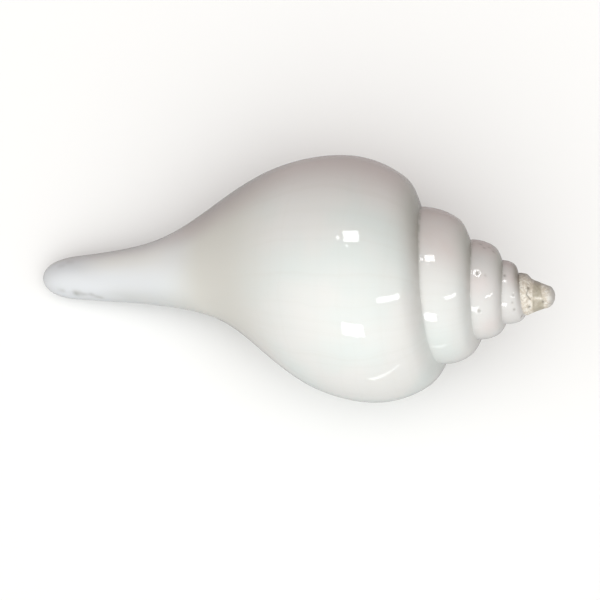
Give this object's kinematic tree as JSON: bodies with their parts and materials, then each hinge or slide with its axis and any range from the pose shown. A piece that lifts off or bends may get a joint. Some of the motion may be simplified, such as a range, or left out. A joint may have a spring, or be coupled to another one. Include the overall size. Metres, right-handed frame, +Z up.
{
  "type": "conch shell",
  "caption": "Polished white conch shell of the chank kind, a right-handed spiral with a slim canal and an open aperture, lying on its mouth.",
  "frame": {"origin": "middle of the underside of the bounding box, on the surface that the shell lies on", "axes": "+X towards the apex of the spire, -X towards the tip of the canal, +Z up with the aperture facing down"},
  "size_m": [0.146, 0.0706, 0.0606],
  "materials": {
    "polished_shell": "polished"
  },
  "bodies": {
    "root": {"conch_shell": "polished_shell"}
  },
  "joints": []
}
